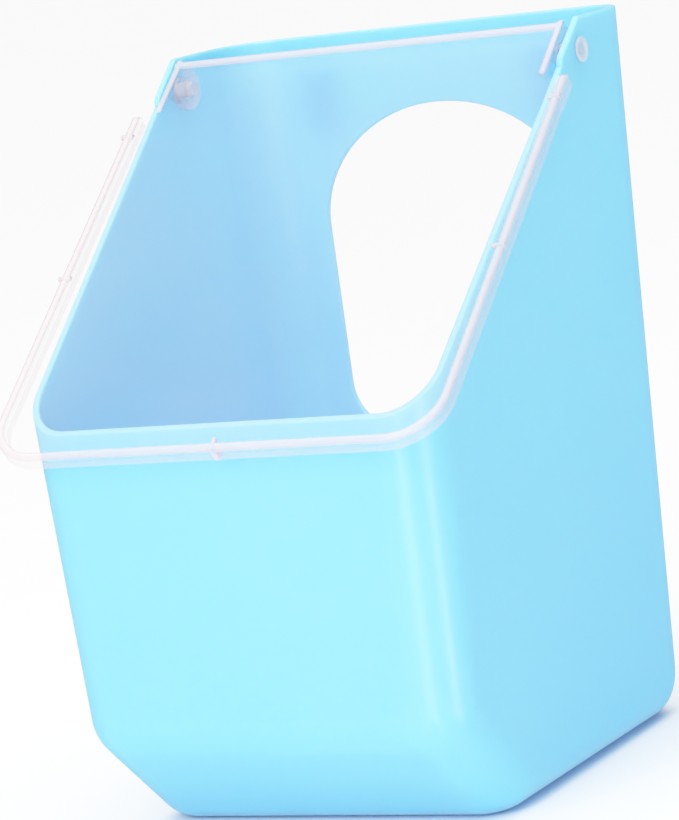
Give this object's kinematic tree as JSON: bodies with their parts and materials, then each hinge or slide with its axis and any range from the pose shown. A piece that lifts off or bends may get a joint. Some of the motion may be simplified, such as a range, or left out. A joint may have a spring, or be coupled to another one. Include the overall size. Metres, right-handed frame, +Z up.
{
  "type": "outside-hung rabbit feeder",
  "caption": "Moulded plastic feed box for rabbits that hangs outside a cage, with an arched head opening in its back wall and a clear slanted lid hinged on push-in pins.",
  "frame": {"origin": "middle of the flat base, on the surface that the feeder stands on", "axes": "+Z up, +Y out of the back wall towards the cage, -Y towards the front lip, +X to the right seen from the front"},
  "size_m": [0.1694, 0.2082, 0.2498],
  "materials": {
    "hopper": "smooth sky-blue moulded polypropylene, satin gloss",
    "lid": "clear, slightly milky moulded plastic, glossy",
    "pins": "milky translucent moulded plastic"
  },
  "bodies": {
    "hopper": {"hopper_body": "hopper"},
    "lid": {"clear_lid": "lid", "hinge_pin_left": "pins", "hinge_pin_right": "pins"}
  },
  "joints": [
    {"name": "lid_hinge", "type": "hinge", "parent": "hopper", "child": "lid", "pos_m": [0, 0.0369, 0.2387], "axis": [-1, 0, 0], "range_deg": [0, 160]}
  ]
}
